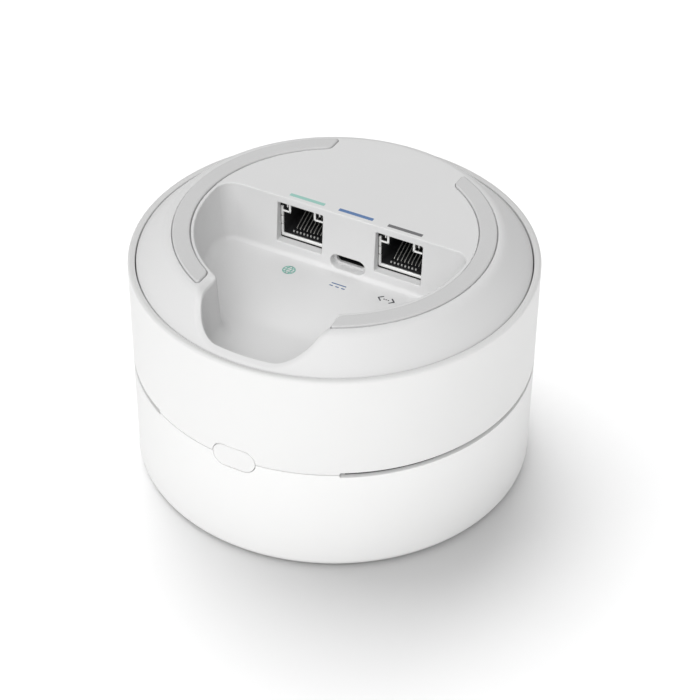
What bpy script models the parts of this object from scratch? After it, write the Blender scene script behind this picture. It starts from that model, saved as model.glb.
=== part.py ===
"""Mesh wifi node: a short round network node made as a real assembly.

The node lies on its crown, the way it is turned over to plug the cables in, so
its two rubber feet and its port bay face up (+Z).  The cable notch and the
reset button face -Y, and X = 0 is the plane the round body is symmetric about.
The origin is the centre of the underside of the crown.  Dimensions below are
in millimetres and are turned into metres when each mesh is made.
"""
import math

import bpy
import bmesh
from mathutils import Matrix, Vector

# ---- driving dimensions (mm) ------------------------------------------------
BODY_R = 53.06            # outer radius of both housing halves
BODY_H = 68.75            # crown underside to the top of the feet
WALL_R = 51.20            # inner radius of both housing halves
CROWN_FILLET = 2.30       # rounded crown edge
DISH = 1.25               # how far the crown face is dished
REST_R = 44.0             # inner radius of the flat resting ring
WAIST_Z = 31.23           # the waist seam
SEAM = 0.30               # seam height at the waist
SLOT_LO, SLOT_HI = 30.50, 31.95   # the open light slot
SLOT_A0, SLOT_A1 = -60.3, 241.5   # azimuths the light slot runs between
RIM_Z = 60.90             # top of the housing rim
FACE_Z = 68.30            # flat face of the base plate
FACE_R = 41.86            # where the flat face starts to round over
BASE_R = 50.90            # outer radius of the base plate
BASE_LOW = 57.80          # lower edge of the base plate's flange
SKIRT_SUM = 111.40        # r + z along the 45 degree skirt
PLATE_T = 2.20            # base plate thickness
FOOT_RI, FOOT_RO = 36.83, 41.38   # rubber foot radii
FOOT_END = 18.40          # the feet stop at x = +-FOOT_END
GROOVE_Z = 66.90          # floor of the foot grooves
BAY_R = 35.80             # radius of the port bay
BAY_WALL_Y = 5.90         # the wall the ports are in
BAY_FLOOR = 51.20         # floor of the port bay
BAY_DRAFT = 1.20          # how much smaller the bay is at its floor
BAY_SKIN = 1.60           # wall thickness round the bay
BAY_UNDER = 49.20         # underside of the bay tub
NOTCH_W = 16.90           # half width of the cable notch
NOTCH_R = 49.95           # the notch ends on this radius
NOTCH_CORNER = 9.5
JACK_X = (-13.3, 15.5)    # centres of the two network jacks
JACK_W, JACK_H = 13.4, 11.1   # opening in the bay wall
JACK_Z = 60.70            # centre of the openings
USB_X, USB_Z = 1.15, 53.90
USB_W, USB_H = 10.2, 4.0
BUTTON_W, BUTTON_H = 12.0, 6.5
BUTTON_TRAVEL = 0.60
BUTTON_GAP = 0.25
BOARD_Z0, BOARD_Z1 = 50.70, 52.30   # main board
BOARD_Y = 9.0             # straight front edge of the main board
BOARD_R = 45.0
SINK_Z0, SINK_Z1 = 36.0, 46.50      # heat sink
SINK_R = 45.4
LEDB_Z0, LEDB_Z1 = 26.0, 27.6       # light board
SEG = 72
MM = 0.001

for _o in list(bpy.data.objects):
    bpy.data.objects.remove(_o, do_unlink=True)
for _m in list(bpy.data.meshes):
    bpy.data.meshes.remove(_m)

scene = bpy.context.scene


def polar(r, deg, z=0.0):
    a = math.radians(deg)
    return (r * math.cos(a), r * math.sin(a), z)


def new_obj(name, verts, faces):
    me = bpy.data.meshes.new(name)
    me.from_pydata([tuple(c * MM for c in v) for v in verts], [], faces)
    bm = bmesh.new()
    bm.from_mesh(me)
    bmesh.ops.remove_doubles(bm, verts=bm.verts, dist=1e-6)
    bmesh.ops.recalc_face_normals(bm, faces=bm.faces)
    bmesh.ops.dissolve_limit(bm, angle_limit=math.radians(0.02), verts=bm.verts, edges=bm.edges)
    if bm.calc_volume(signed=True) < 0:
        bmesh.ops.reverse_faces(bm, faces=bm.faces)
    bm.to_mesh(me)
    bm.free()
    ob = bpy.data.objects.new(name, me)
    scene.collection.objects.link(ob)
    return ob


def lathe(name, pts, seg=SEG, a0=None, a1=None):
    """Revolve a closed (r, z) loop about Z, all the way or from a0 to a1."""
    full = a0 is None
    n = seg
    verts, rings = [], []
    count = n if full else n + 1
    for r, z in pts:
        if r < 1e-9:
            verts.append((0.0, 0.0, z))
            rings.append([len(verts) - 1] * count)
        else:
            ring = []
            for i in range(count):
                a = 360.0 * i / n if full else a0 + (a1 - a0) * i / n
                verts.append(polar(r, a, z))
                ring.append(len(verts) - 1)
            rings.append(ring)
    faces = []
    m = len(pts)
    for k in range(m):
        p, q = rings[k], rings[(k + 1) % m]
        for i in range(n):
            j = (i + 1) % count if full else i + 1
            loop = [p[i], p[j], q[j], q[i]]
            out = []
            for v in loop:
                if v not in out:
                    out.append(v)
            if len(out) >= 3:
                faces.append(out)
    if not full:
        faces.append([r[0] for r in rings])
        faces.append([r[-1] for r in rings][::-1])
    return new_obj(name, verts, faces)


def prism(name, outline, z0, z1, top=None):
    """Extrude a polygon up; top may be a second outline of the same length."""
    top = top or outline
    n = len(outline)
    verts = [(x, y, z0) for x, y in outline] + [(x, y, z1) for x, y in top]
    faces = [list(range(n))[::-1], list(range(n, 2 * n))]
    faces += [[i, (i + 1) % n, n + (i + 1) % n, n + i] for i in range(n)]
    return new_obj(name, verts, faces)


def prism_y(name, outline, y0, y1):
    """Extrude an (x, z) polygon along Y."""
    n = len(outline)
    verts = [(x, y0, z) for x, z in outline] + [(x, y1, z) for x, z in outline]
    faces = [list(range(n)), list(range(n, 2 * n))[::-1]]
    faces += [[i, n + i, n + (i + 1) % n, (i + 1) % n] for i in range(n)]
    return new_obj(name, verts, faces)


def box(name, x0, x1, y0, y1, z0, z1):
    return prism(name, [(x0, y0), (x1, y0), (x1, y1), (x0, y1)], z0, z1)


def cyl(name, cx, cy, r, z0, z1, seg=24):
    return prism(name, [(cx + r * math.cos(2 * math.pi * i / seg),
                         cy + r * math.sin(2 * math.pi * i / seg)) for i in range(seg)], z0, z1)


def spin(ob, deg):
    """Turn a mesh about Z, in place."""
    ob.data.transform(Matrix.Rotation(math.radians(deg), 4, "Z"))
    return ob


def combine(ob, other, op):
    """Cut, add or intersect another solid and keep only the result."""
    mod = ob.modifiers.new("b", "BOOLEAN")
    mod.operation = op
    mod.solver = "EXACT"
    mod.object = other
    dg = bpy.context.evaluated_depsgraph_get()
    dg.update()
    me = bpy.data.meshes.new_from_object(ob.evaluated_get(dg))
    ob.modifiers.clear()
    old = ob.data
    ob.data = me
    bpy.data.meshes.remove(old)
    bpy.data.objects.remove(other, do_unlink=True)
    me.name = ob.name
    return ob


def cut(ob, other):
    return combine(ob, other, "DIFFERENCE")


def add(ob, other):
    return combine(ob, other, "UNION")


def tidy(ob, angle=32.0):
    bm = bmesh.new()
    bm.from_mesh(ob.data)
    bmesh.ops.remove_doubles(bm, verts=bm.verts, dist=2e-6)
    bmesh.ops.dissolve_degenerate(bm, edges=bm.edges, dist=1e-6)
    bmesh.ops.dissolve_limit(bm, angle_limit=math.radians(0.05), verts=bm.verts, edges=bm.edges)
    bmesh.ops.triangulate(bm, faces=bm.faces)
    bm.to_mesh(ob.data)
    bm.free()
    for p in ob.data.polygons:
        p.use_smooth = True
    ob.data.set_sharp_from_angle(angle=math.radians(angle))
    return ob


def material(ob, rgb, rough, metal=0.0, trans=0.0):
    m = bpy.data.materials.new("mat_" + ob.name)
    m.use_nodes = True
    b = m.node_tree.nodes.get("Principled BSDF")
    b.inputs["Base Color"].default_value = (rgb[0], rgb[1], rgb[2], 1.0)
    b.inputs["Roughness"].default_value = rough
    b.inputs["Metallic"].default_value = metal
    if trans:
        b.inputs["Transmission Weight"].default_value = trans
    m.diffuse_color = (rgb[0], rgb[1], rgb[2], 1.0)
    ob.data.materials.clear()
    ob.data.materials.append(m)
    return ob


WHITE = (0.86, 0.86, 0.85)
GREY = (0.68, 0.68, 0.68)
RUBBER = (0.50, 0.50, 0.50)
BLACK = (0.02, 0.02, 0.022)
STEEL = (0.66, 0.66, 0.65)
GOLD = (0.83, 0.62, 0.22)
PCB = (0.03, 0.16, 0.08)
CAST = (0.55, 0.56, 0.57)


def finish(ob, rgb, rough, metal=0.0, trans=0.0, angle=32.0):
    tidy(ob, angle)
    return material(ob, rgb, rough, metal, trans)


# ---- outlines ---------------------------------------------------------------
def arc(cx, cy, r, d0, d1, n):
    return [(cx + r * math.cos(math.radians(d0 + (d1 - d0) * i / n)),
             cy + r * math.sin(math.radians(d0 + (d1 - d0) * i / n))) for i in range(n + 1)]


def bay_outline(grow=0.0):
    """Port bay and cable notch seen from +Z, grown outwards by `grow`."""
    r = BAY_R + grow
    wy = BAY_WALL_Y + grow
    nw = NOTCH_W + grow
    nr = NOTCH_R + grow
    cr = 4.0 + grow           # bay corner beside the port wall
    nc = NOTCH_CORNER + grow  # notch corner
    # corner circle tangent to the wall line and inside the bay circle
    cy = wy - cr
    cx = math.sqrt((r - cr) ** 2 - cy ** 2)
    a_circle = math.degrees(math.atan2(cy, cx))
    pts = []
    pts += arc(cx, cy, cr, 90.0, a_circle, 4)               # right corner
    a_tip = math.degrees(math.asin(-math.sqrt(r * r - nw * nw) / r))
    pts += arc(0, 0, r, a_circle, a_tip, 11)[1:]            # right side to the tip
    ncx = nw - nc
    ncy = -math.sqrt((nr - nc) ** 2 - ncx ** 2)
    a_n = math.degrees(math.atan2(ncy, ncx))
    pts += arc(ncx, ncy, nc, 0.0, a_n, 5)                   # notch right corner
    pts += arc(0, 0, nr, a_n, -180.0 - a_n, 7)[1:]         # notch end
    left = [(-x, y) for x, y in arc(ncx, ncy, nc, 0.0, a_n, 5)][::-1]
    pts += left[1:]
    pts += [(-x, y) for x, y in arc(0, 0, r, a_circle, a_tip, 11)][::-1]
    pts += [(-x, y) for x, y in arc(cx, cy, cr, 90.0, a_circle, 4)][::-1][1:]
    return pts[::-1]


def foot_outline(side, grow=0.0, n=18):
    ri, ro, ex = FOOT_RI - grow, FOOT_RO + grow, FOOT_END - grow
    c = 1.2
    yo, yi = math.sqrt(ro * ro - ex * ex), math.sqrt(ri * ri - ex * ex)
    ao = math.degrees(math.atan2(yo, ex)) - 1.8
    ai = math.degrees(math.atan2(yi, ex)) - 1.8
    pts = arc(0, 0, ro, -ao, ao, n)
    pts += [(ex + 0.35, yo - 0.75), (ex, yo - c - 0.7)]
    pts += [(ex, yi + 0.55), (ex + 0.4, yi + 0.05)]
    pts += arc(0, 0, ri, ai, -ai, n)
    pts += [(ex + 0.4, -yi - 0.05), (ex, -yi - 0.55)]
    pts += [(ex, -(yo - c - 0.7)), (ex + 0.35, -(yo - 0.75))]
    if side < 0:
        pts = [(-x, y) for x, y in pts][::-1]
    return pts


def stadium(w, h, cx, cz, n=8):
    r = h / 2.0
    d = w / 2.0 - r
    return arc(cx + d, cz, r, -90, 90, n) + arc(cx - d, cz, r, 90, 270, n)


SCREW_AZ = (45.0, 135.0, 225.0, 315.0)
SCREW_R = 39.60

# ---- housing ----------------------------------------------------------------
f = CROWN_FILLET
cpts = [(BODY_R, WAIST_Z - SEAM / 2)]
cpts += [(BODY_R - f + f * math.cos(math.radians(t)), f - f * math.sin(math.radians(t)))
         for t in (0, 30, 60, 90)]
cpts += [(REST_R, 0.0), (REST_R - 1.2, 0.14), (30.0, 0.95), (0.0, DISH)]
cpts += [(0.0, 3.2), (48.6, 2.30), (WALL_R, 4.6), (WALL_R, WAIST_Z - SEAM / 2)]
crown = lathe("crown_cover", cpts)
for az in SCREW_AZ:
    x, y, _ = polar(42.4, az)
    add(crown, cyl("t", x, y, 2.6, 2.0, LEDB_Z0 - 0.05, 12))
for az in SCREW_AZ:
    x, y, _ = polar(42.4, az)
    cut(crown, cyl("t", x, y, 1.05, 18.0, LEDB_Z0 + 1, 8))

spts = [(BODY_R, WAIST_Z + SEAM / 2), (BODY_R, 60.05), (52.80, 60.65),
        (52.2, RIM_Z), (WALL_R, 60.70), (WALL_R, WAIST_Z + SEAM / 2)]
sleeve = lathe("side_sleeve", spts)
POST_TOP = 63.9
for az in SCREW_AZ:
    post = cyl("t", SCREW_R + 1.3, 0, 3.1, 54.2, POST_TOP - 4.0, 12)
    rib = box("t2", SCREW_R + 3.0, WALL_R + 0.8, -1.1, 1.1, 54.2, POST_TOP - 6.3)
    add(post, rib)
    spin(post, az)
    add(sleeve, post)
for az in SCREW_AZ:
    x, y, _ = polar(SCREW_R, az)
    cut(sleeve, cyl("t", x, y, 1.05, 55.5, POST_TOP + 1, 8))
for az in (90.0, 205.0, 335.0):
    lug = box("t", 43.4, WALL_R + 0.8, -4.0, 4.0, 41.9, 43.9)
    spin(lug, az)
    add(sleeve, lug)

slot = [(50.0, SLOT_LO), (54.0, SLOT_LO), (54.0, SLOT_HI), (50.0, SLOT_HI)]
cut(crown, lathe("t", slot, 41, SLOT_A0, SLOT_A1))
cut(sleeve, lathe("t", slot, 41, SLOT_A0, SLOT_A1))
hole = stadium(BUTTON_W + 2 * BUTTON_GAP, BUTTON_H + 2 * BUTTON_GAP, 0.0, WAIST_Z, 7)
cut(crown, prism_y("t", hole, -56, -45))
cut(sleeve, prism_y("t", hole, -56, -45))
finish(crown, WHITE, 0.42)
finish(sleeve, WHITE, 0.42)

# ---- base plate and port bay --------------------------------------------------
env = [(0.0, FACE_Z), (FACE_R, FACE_Z), (43.01, 68.07), (43.98, SKIRT_SUM - 43.98),
       (BASE_R, SKIRT_SUM - BASE_R)]
inner = [(BASE_R, BASE_LOW), (48.9, BASE_LOW), (48.9, 59.95), (42.75, FACE_Z - PLATE_T),
         (0.0, FACE_Z - PLATE_T)]
base = lathe("base_plate", env + inner)
tub = prism("t", bay_outline(BAY_SKIN - 0.001), BAY_UNDER, 70.0)
full = lathe("t2", env + [(BASE_R, BAY_UNDER - 1.0), (0.0, BAY_UNDER - 1.0)])
combine(tub, full, "INTERSECT")
add(base, tub)
# screw bosses, reaching down to the housing posts
for az in SCREW_AZ:
    x, y, _ = polar(SCREW_R, az)
    add(base, cyl("t", x, y, 2.9, POST_TOP - 3.95, 67.3, 12))
cut(base, prism("t", bay_outline(-BAY_DRAFT), BAY_FLOOR, 70.0, bay_outline(0.08)))
for s in (1, -1):
    cut(base, prism("t", foot_outline(s, 0.2), GROOVE_Z, 70.0))
for az in SCREW_AZ:
    x, y, _ = polar(SCREW_R, az)
    cut(base, cyl("t", x, y, 1.2, 55.0, 70.0, 10))
    cut(base, cyl("t", x, y, 1.92, 65.2, 70.0, 14))
for jx in JACK_X:
    cut(base, box("t", jx - JACK_W / 2, jx + JACK_W / 2, 2.0, 9.0, JACK_Z - JACK_H / 2, JACK_Z + JACK_H / 2))
cut(base, prism_y("t", stadium(USB_W, USB_H, USB_X, USB_Z, 8), 2.0, 9.0))
finish(base, GREY, 0.5)

# ---- rubber feet --------------------------------------------------------------
for s, nm in ((1, "foot_right"), (-1, "foot_left")):
    ft = prism(nm, foot_outline(s), GROOVE_Z + 0.05, BODY_H)
    finish(ft, RUBBER, 0.8)

# ---- base screws (Torx, under the feet) -----------------------------------------
for k, az in enumerate(SCREW_AZ):
    x, y, _ = polar(SCREW_R, az)
    sc = lathe("base_screw_%d" % (k + 1),
               [(0, 66.6), (1.75, 66.6), (1.75, 65.25), (0.85, 65.25), (0.85, 55.8), (0, 55.8)], 12)
    sc.data.transform(Matrix.Translation(Vector((x * MM, y * MM, 0))))
    drive = cyl("t", x, y, 0.8, 65.85, 67.0, 6)
    cut(sc, drive)
    finish(sc, STEEL, 0.35, 1.0)

# ---- light pipe ring ------------------------------------------------------------
pipe = lathe("light_pipe_ring",
             [(44.2, 29.2), (50.95, 29.2), (50.95, 30.65), (51.95, 30.65), (51.95, 31.80), (50.95, 31.80), (50.95, 32.25),
              (48.9, 32.25), (48.9, 30.9), (44.2, 30.9)],
             60, SLOT_A0 + 1.5, SLOT_A1 - 1.5)
finish(pipe, (0.30, 0.30, 0.31), 0.35, 0.0, 0.3)

# ---- network jacks ---------------------------------------------------------------
JY0, JY1 = 7.60, 29.0        # jack body front and back
for jx, nm in zip(JACK_X, ("wan", "lan")):
    z0, z1 = BOARD_Z1 + 0.05, 66.0
    shell = box(nm + "_jack_shell", jx - 7.9, jx + 7.9, JY0, JY1, z0, z1)
    # front opening and the hollow the insert sits in, closed at the back
    cut(shell, box("t", jx - 7.4, jx + 7.4, JY0 + 0.5, JY1 - 0.5, z0 - 1, z1 - 0.5))
    cut(shell, box("t", jx - 5.95, jx + 5.95, JY0 - 1, JY0 + 2, 56.6, 64.9))
    finish(shell, STEEL, 0.3, 1.0, angle=20)
    ins = box(nm + "_jack_insert", jx - 7.2, jx + 7.2, JY0 + 0.7, JY1 - 0.7, z0 + 0.15, z1 - 0.7)
    cut(ins, box("t", jx - 5.85, jx + 5.85, JY0 - 1, JY0 + 14.0, 56.9, 63.4))
    cut(ins, box("t", jx - 3.1, jx + 3.1, JY0 - 1, JY0 + 9.0, 63.0, 64.85))
    finish(ins, BLACK, 0.55, angle=20)
    # eight contact wires joined by their moulded carrier bar
    comb = box(nm + "_jack_contacts", jx - 4.6, jx + 4.6, JY0 + 12.4, JY0 + 13.6, 61.8, 63.1)
    for i in range(8):
        cx = jx + (i - 3.5) * 1.02
        w = 0.22
        wire = new_obj("t", [(cx - w, JY0 + 3.0, 57.3), (cx + w, JY0 + 3.0, 57.3),
                             (cx + w, JY0 + 3.5, 57.3), (cx - w, JY0 + 3.5, 57.3),
                             (cx - w, JY0 + 12.6, 62.2), (cx + w, JY0 + 12.6, 62.2),
                             (cx + w, JY0 + 12.9, 62.2), (cx - w, JY0 + 12.9, 62.2)],
                       [[0, 1, 2, 3], [4, 7, 6, 5], [0, 4, 5, 1], [1, 5, 6, 2], [2, 6, 7, 3], [3, 7, 4, 0]])
        add(comb, wire)
    finish(comb, GOLD, 0.3, 1.0, angle=20)

# ---- usb-c receptacle --------------------------------------------------------------
ush = prism_y("usb_c_shell", stadium(8.94, 3.16, USB_X, USB_Z, 6), 7.6, 15.0)
cut(ush, prism_y("t", stadium(8.34, 2.56, USB_X, USB_Z, 6), 7.0, 14.2))
finish(ush, STEEL, 0.3, 1.0)
tng = box("usb_c_tongue", USB_X - 3.35, USB_X + 3.35, 8.6, 14.1, USB_Z - 0.35, USB_Z + 0.35)
finish(tng, BLACK, 0.5)

# ---- main board and what is on it ----------------------------------------------------
yb = math.sqrt(BOARD_R ** 2 - BOARD_Y ** 2)
a0 = math.degrees(math.atan2(BOARD_Y, yb))
bo = arc(0, 0, BOARD_R, a0, 180 - a0, 30)
mb = prism("main_board", bo, BOARD_Z0, BOARD_Z1)
# relief under the usb-c shell, which sits in a cut at the board edge
cut(mb, box("t", USB_X - 4.8, USB_X + 4.8, 5.0, 15.4, 50.0, 54.0))
BS = ((-33.0, 13.5), (33.0, 13.5), (-21.0, 36.5), (21.0, 36.5))
for x, y in BS:
    cut(mb, cyl("t", x, y, 1.3, 50, 53, 10))
finish(mb, PCB, 0.45)

for k, (x, y) in enumerate(BS):
    sc = lathe("board_screw_%d" % (k + 1),
               [(0, 53.6), (1.9, 53.4), (1.9, 52.36), (0.95, 52.36), (0.95, 47.6), (0, 47.6)], 12)
    sc.data.transform(Matrix.Translation(Vector((x * MM, y * MM, 0))))
    cut(sc, box("t", x - 0.9, x + 0.9, y - 0.2, y + 0.2, 53.1, 54))
    finish(sc, STEEL, 0.35, 1.0)

finish(box("soc_chip", -9.0, 9.0, 17.0, 35.0, 49.35, 50.65), BLACK, 0.4)
finish(box("thermal_pad", -8.5, 8.5, 17.5, 34.5, 48.65, 49.3), (0.45, 0.55, 0.65), 0.8)
finish(box("memory_chip", 15.0, 29.0, 18.0, 27.0, 49.6, 50.65), BLACK, 0.4)
finish(box("storage_chip", -29.0, -16.5, 18.0, 29.5, 49.6, 50.65), BLACK, 0.4)
for nm, x0, x1, y0, y1 in (("radio_shield_1", -17.5, -1.0, 30.4, 37.5), ("radio_shield_2", 1.0, 17.5, 30.4, 37.5)):
    z0, z1 = BOARD_Z1 + 0.05, 55.0
    sh = box(nm, x0, x1, y0, y1, z0, z1)
    cut(sh, box("t", x0 + 0.3, x1 - 0.3, y0 + 0.3, y1 - 0.3, z0 - 1, z1 - 0.3))
    finish(sh, STEEL, 0.35, 1.0, angle=20)
ind = box("power_inductor", -3.0, 4.0, 17.4, 24.4, BOARD_Z1 + 0.05, 56.6)
finish(ind, (0.12, 0.12, 0.12), 0.6)
finish(box("network_transformer", 26.0, 37.0, 17.5, 24.5, BOARD_Z1 + 0.05, 58.0), BLACK, 0.5)

# ---- heat sink: cast plate with fins and four posts -----------------------------------
comb = [(-SINK_R, SINK_Z1), (-SINK_R, 44.0)]
x = -38.0
while x < 39.0:
    comb += [(x - 0.9, 44.0), (x - 0.6, SINK_Z0), (x + 0.6, SINK_Z0), (x + 0.9, 44.0)]
    x += 7.6
comb += [(SINK_R, 44.0), (SINK_R, SINK_Z1)]
sink = prism_y("heat_sink", comb[::-1], -SINK_R, SINK_R)
limit = lathe("t", [(0, 47.5), (SINK_R, 47.5), (SINK_R, 44.0), (41.5, 44.0), (41.5, 30.0), (0, 30.0)], 60)
combine(sink, limit, "INTERSECT")
add(sink, box("t", -8.5, 8.5, 17.5, 34.5, 45.5, 48.6))
for x, y in BS:
    add(sink, cyl("t", x, y, 2.6, 45.5, BOARD_Z0 - 0.05, 10))
for x, y in BS:
    cut(sink, cyl("t", x, y, 1.15, 47.0, 52.0, 8))
finish(sink, CAST, 0.5, 1.0)

# ---- light board and leds ---------------------------------------------------------------
lb = lathe("light_board", [(37.0, LEDB_Z0), (47.6, LEDB_Z0), (47.6, LEDB_Z1), (37.0, LEDB_Z1)], 60)
for az in SCREW_AZ:
    x, y, _ = polar(42.4, az)
    cut(lb, cyl("t", x, y, 1.3, 25, 29, 8))
cut(lb, box("t", -11.0, 11.0, -52.0, -42.2, 25.0, 29.0))
finish(lb, PCB, 0.45)
for k, az in enumerate((0.0, 90.0, 180.0, 248.0)):
    led = box("status_led_%d" % (k + 1), 45.4, 47.0, -1.0, 1.0, LEDB_Z1 + 0.05, LEDB_Z1 + 0.85)
    spin(led, az)
    finish(led, (0.9, 0.9, 0.8), 0.4)
for k, az in enumerate(SCREW_AZ[:3]):
    x, y, _ = polar(42.4, az)
    sc = lathe("light_board_screw_%d" % (k + 1),
               [(0, 28.7), (1.8, 28.5), (1.8, 27.66), (0.85, 27.66), (0.85, 19.5), (0, 19.5)], 10)
    sc.data.transform(Matrix.Translation(Vector((x * MM, y * MM, 0))))
    finish(sc, STEEL, 0.35, 1.0)

# ---- reset button, switch ------------------------------------------------------------------
btn = prism_y("reset_button", stadium(BUTTON_W, BUTTON_H, 0.0, WAIST_Z, 8), -54.0, -50.2)
combine(btn, lathe("t", [(0, 20), (BODY_R, 20), (BODY_R, 45), (0, 45)], 144), "INTERSECT")
flange = prism_y("t", stadium(BUTTON_W + 3.0, BUTTON_H + 2.4, 0.0, WAIST_Z, 5), -50.2, -49.4)
add(btn, flange)
add(btn, box("t", -1.2, 1.2, -49.5, -48.55, WAIST_Z - 1.2, WAIST_Z + 1.2))
finish(btn, WHITE, 0.42)
SWY = -47.3
swb = box("button_board", -8.5, 8.5, -45.2, -44.2, 27.9, 34.6)
finish(swb, PCB, 0.45)
body = box("switch_body", -3.0, 3.0, SWY, -45.25, WAIST_Z - 3.0, WAIST_Z + 3.0)
bore = prism_y("t", [(1.65 * math.cos(2 * math.pi * i / 16), WAIST_Z + 1.65 * math.sin(2 * math.pi * i / 16)) for i in range(16)], -49, -46.1)
cut(body, bore)
finish(body, BLACK, 0.5)
plg = prism_y("switch_plunger", [(1.45 * math.cos(2 * math.pi * i / 16), WAIST_Z + 1.45 * math.sin(2 * math.pi * i / 16)) for i in range(16)], -48.5, -46.95)
finish(plg, (0.35, 0.33, 0.30), 0.5)

# ---- antenna carrier, antennas, thin cables ---------------------------------------------------
car = lathe("antenna_carrier", [(28.0, 3.3), (34.0, 3.3), (34.0, 5.3), (30.0, 5.3), (30.0, 22.0), (28.0, 22.0)], 48)
for az in (30.0, 150.0, 270.0):
    x, y, _ = polar(32.2, az)
    cut(car, cyl("t", x, y, 1.0, 3.0, 8.0, 8))
finish(car, (0.2, 0.2, 0.2), 0.6)
for nm, az, w in (("wifi_antenna_1", 20.0, 30.0), ("wifi_antenna_2", 150.0, 30.0), ("bluetooth_antenna", 85.0, 18.0)):
    an = lathe(nm, [(30.3, 8.0), (30.7, 8.0), (30.7, 21.0), (30.3, 21.0)], 10, az - w / 2, az + w / 2)
    # the slot that makes it a folded antenna
    slit = lathe("t", [(29.5, 12.0), (31.5, 12.0), (31.5, 13.4), (29.5, 13.4)], 8, az - w / 2 + 4, az + w / 2 + 2)
    cut(an, slit)
    finish(an, GOLD, 0.3, 1.0, angle=25)


def tube(name, path, r, seg=6):
    verts, faces = [], []
    pts = [Vector(p) for p in path]
    t = (pts[1] - pts[0]).normalized()
    u = t.orthogonal().normalized()
    for i, p in enumerate(pts):
        if i == 0:
            d = (pts[1] - p).normalized()
        elif i == len(pts) - 1:
            d = (p - pts[i - 1]).normalized()
        else:
            d = ((pts[i + 1] - p).normalized() + (p - pts[i - 1]).normalized()).normalized()
        u = (u - d * u.dot(d)).normalized()
        v = d.cross(u)
        for k in range(seg):
            a = 2 * math.pi * k / seg
            verts.append(tuple(p + (u * math.cos(a) + v * math.sin(a)) * r))
    for i in range(len(pts) - 1):
        for k in range(seg):
            a, b = i * seg + k, i * seg + (k + 1) % seg
            faces.append([a, b, b + seg, a + seg])
    faces.append(list(range(seg))[::-1])
    faces.append(list(range((len(pts) - 1) * seg, len(pts) * seg)))
    return new_obj(name, verts, faces)


for nm, az, end in (("wifi_cable_1", 20.0, 1), ("wifi_cable_2", 160.0, 2), ("bluetooth_cable", 75.0, 3)):
    start = {"wifi_cable_1": 20.0, "wifi_cable_2": 150.0, "bluetooth_cable": 85.0}[nm]
    path = [polar(31.6, start, 17.0), polar(31.9, start, 22.5), polar(33.4, start, 24.6)]
    span = az - start
    if span < -180:
        span += 360
    steps = max(1, int(abs(span) // 18))
    for i in range(steps + 1):
        path.append(polar(34.6, start + span * i / steps, 25.2 + 8.2 * (i + 1) / (steps + 1)))
    path += [polar(36.4, az, 34.2), polar(45.8, az, 34.3), polar(47.4, az, 35.0), polar(48.3, az, 36.6),
             polar(48.3, az, 54.0), polar(47.6, az, 55.9), polar(45.9, az, 56.7), polar(42.6, az, 56.6),
             polar(41.4, az, 55.9), polar(41.2, az, 54.3)]
    finish(tube(nm, path, 0.55), BLACK, 0.5)
    x, y, _ = polar(41.2, az)
    plug = cyl("antenna_plug_%d" % end, x, y, 1.3, BOARD_Z1 + 0.05, 54.2, 14)
    finish(plug, GOLD, 0.3, 1.0)

# ---- moving piece: origin at the button's centre, on its sliding axis -------------------------
for nm in ("reset_button", "switch_plunger"):
    ob = bpy.data.objects[nm]
    c = Vector((0.0, -0.0505 if nm == "reset_button" else -0.0477, WAIST_Z * MM))
    ob.data.transform(Matrix.Translation(-c))
    ob.location = c
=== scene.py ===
"""Looks for the mesh wifi node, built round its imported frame.  All sizes below are millimetres."""

import math

import bmesh
import bpy
import numpy as np
from mathutils import Matrix, Vector


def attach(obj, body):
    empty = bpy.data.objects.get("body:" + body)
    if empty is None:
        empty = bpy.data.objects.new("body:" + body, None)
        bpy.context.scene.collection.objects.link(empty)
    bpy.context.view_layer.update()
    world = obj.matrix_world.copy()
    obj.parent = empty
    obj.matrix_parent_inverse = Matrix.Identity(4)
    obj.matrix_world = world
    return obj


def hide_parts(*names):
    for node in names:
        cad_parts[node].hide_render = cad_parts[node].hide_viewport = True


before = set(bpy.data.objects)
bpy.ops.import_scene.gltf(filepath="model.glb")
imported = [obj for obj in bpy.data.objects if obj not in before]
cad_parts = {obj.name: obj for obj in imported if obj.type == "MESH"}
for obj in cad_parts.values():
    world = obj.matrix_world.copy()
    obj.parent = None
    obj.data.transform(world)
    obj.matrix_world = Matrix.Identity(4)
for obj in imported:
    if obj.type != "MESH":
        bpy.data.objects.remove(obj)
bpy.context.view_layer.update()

MM = 0.001
scene = bpy.context.scene

# ---- sizes, the same ones the frame was built from ---------------------------------
BODY_R, BODY_H, WALL_R = 53.06, 68.75, 51.20
WAIST_Z, SEAM = 31.23, 0.30
SLOT_LO, SLOT_HI = 30.50, 31.95
SLOT_A0, SLOT_A1 = -60.3, 241.5
RIM_Z, FACE_Z, BASE_R, BASE_LOW, SKIRT_SUM = 60.90, 68.30, 50.90, 57.80, 111.40
FOOT_RI, FOOT_RO, FOOT_END, GROOVE_Z = 36.83, 41.38, 18.40, 66.90
BAY_R, BAY_WALL_Y, BAY_FLOOR, BAY_SKIN, BAY_UNDER = 35.80, 5.90, 51.20, 1.60, 49.20
NOTCH_X, NOTCH_W, NOTCH_R, NOTCH_CORNER = 0.95, 16.80, 49.10, 9.5
BEVEL, BEVEL_SLOPE = 1.8, 0.42
JACK_X, JACK_W, JACK_H, JACK_Z = (-13.3, 15.5), 13.4, 11.75, 60.40
USB_X, USB_Z, USB_W, USB_H = 1.15, 53.90, 10.1, 4.0
BUTTON_W, BUTTON_H = 12.0, 6.5


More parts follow.
